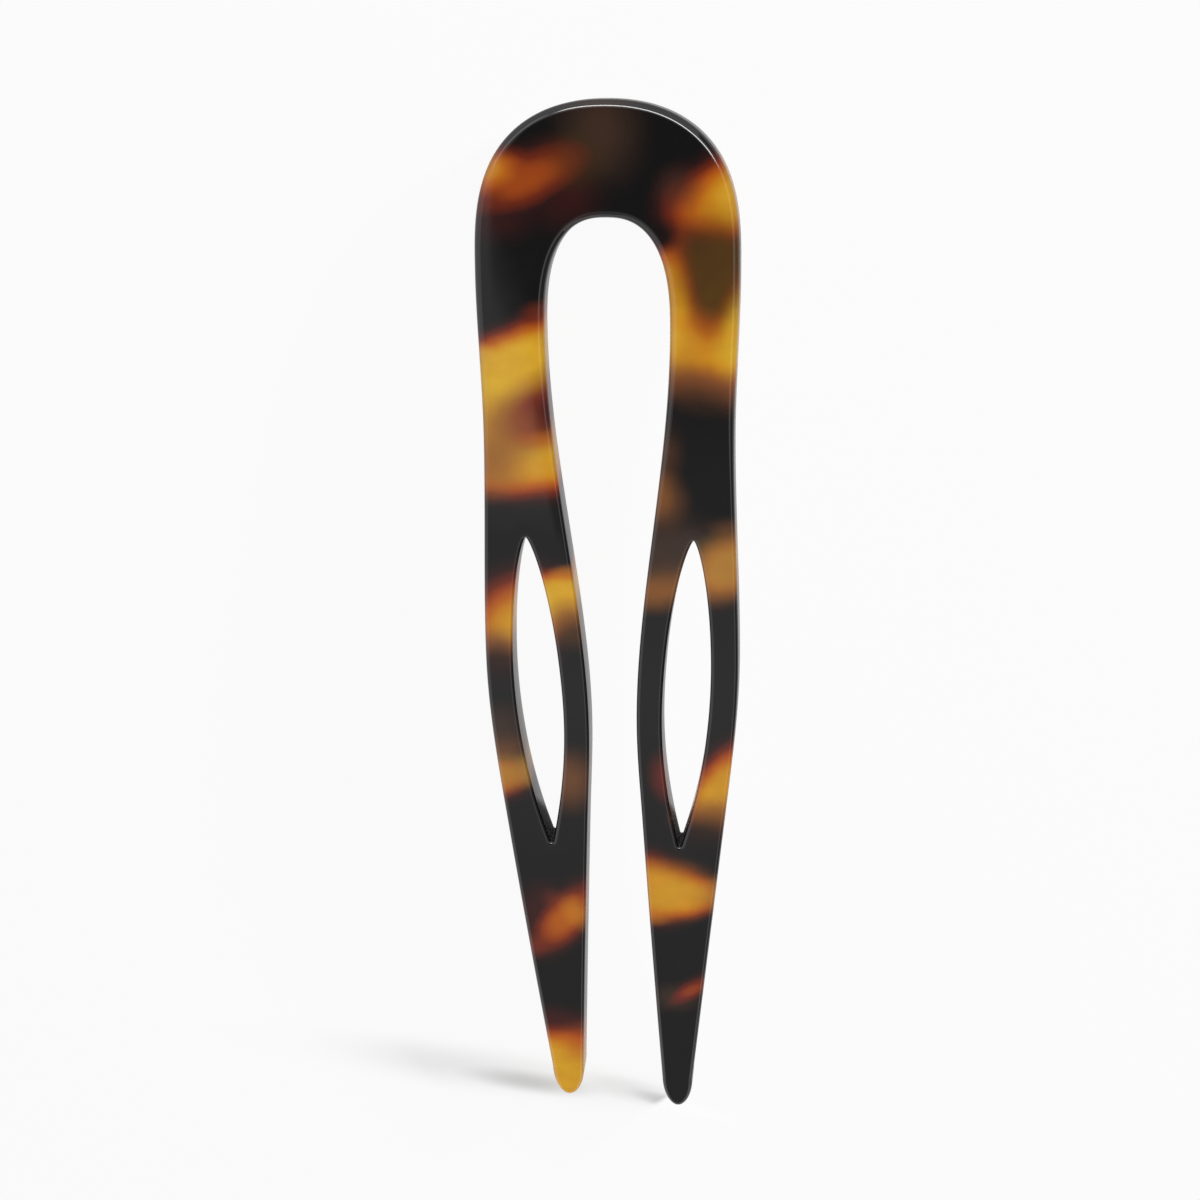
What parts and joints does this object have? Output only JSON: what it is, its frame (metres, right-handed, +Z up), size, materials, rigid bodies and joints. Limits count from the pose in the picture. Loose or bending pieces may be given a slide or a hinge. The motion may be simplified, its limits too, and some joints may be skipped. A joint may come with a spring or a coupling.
{
  "type": "french hair pin",
  "caption": "Bowed U-shaped french hair pin cut from one polished sheet, with a long pointed eye in each tapering prong.",
  "frame": {"origin": "on the surface that the pin rests on, under the middle of its length and of its width", "axes": "+X across the pin, +Y along it from the tips towards the crown, +Z up out of its bowed face"},
  "size_m": [0.03, 0.13, 0.0083],
  "materials": {
    "acetate": "polished cellulose acetate, near black with soft amber and red-brown tortoiseshell patches"
  },
  "bodies": {
    "root": {"hair_pin": "acetate"}
  },
  "joints": []
}
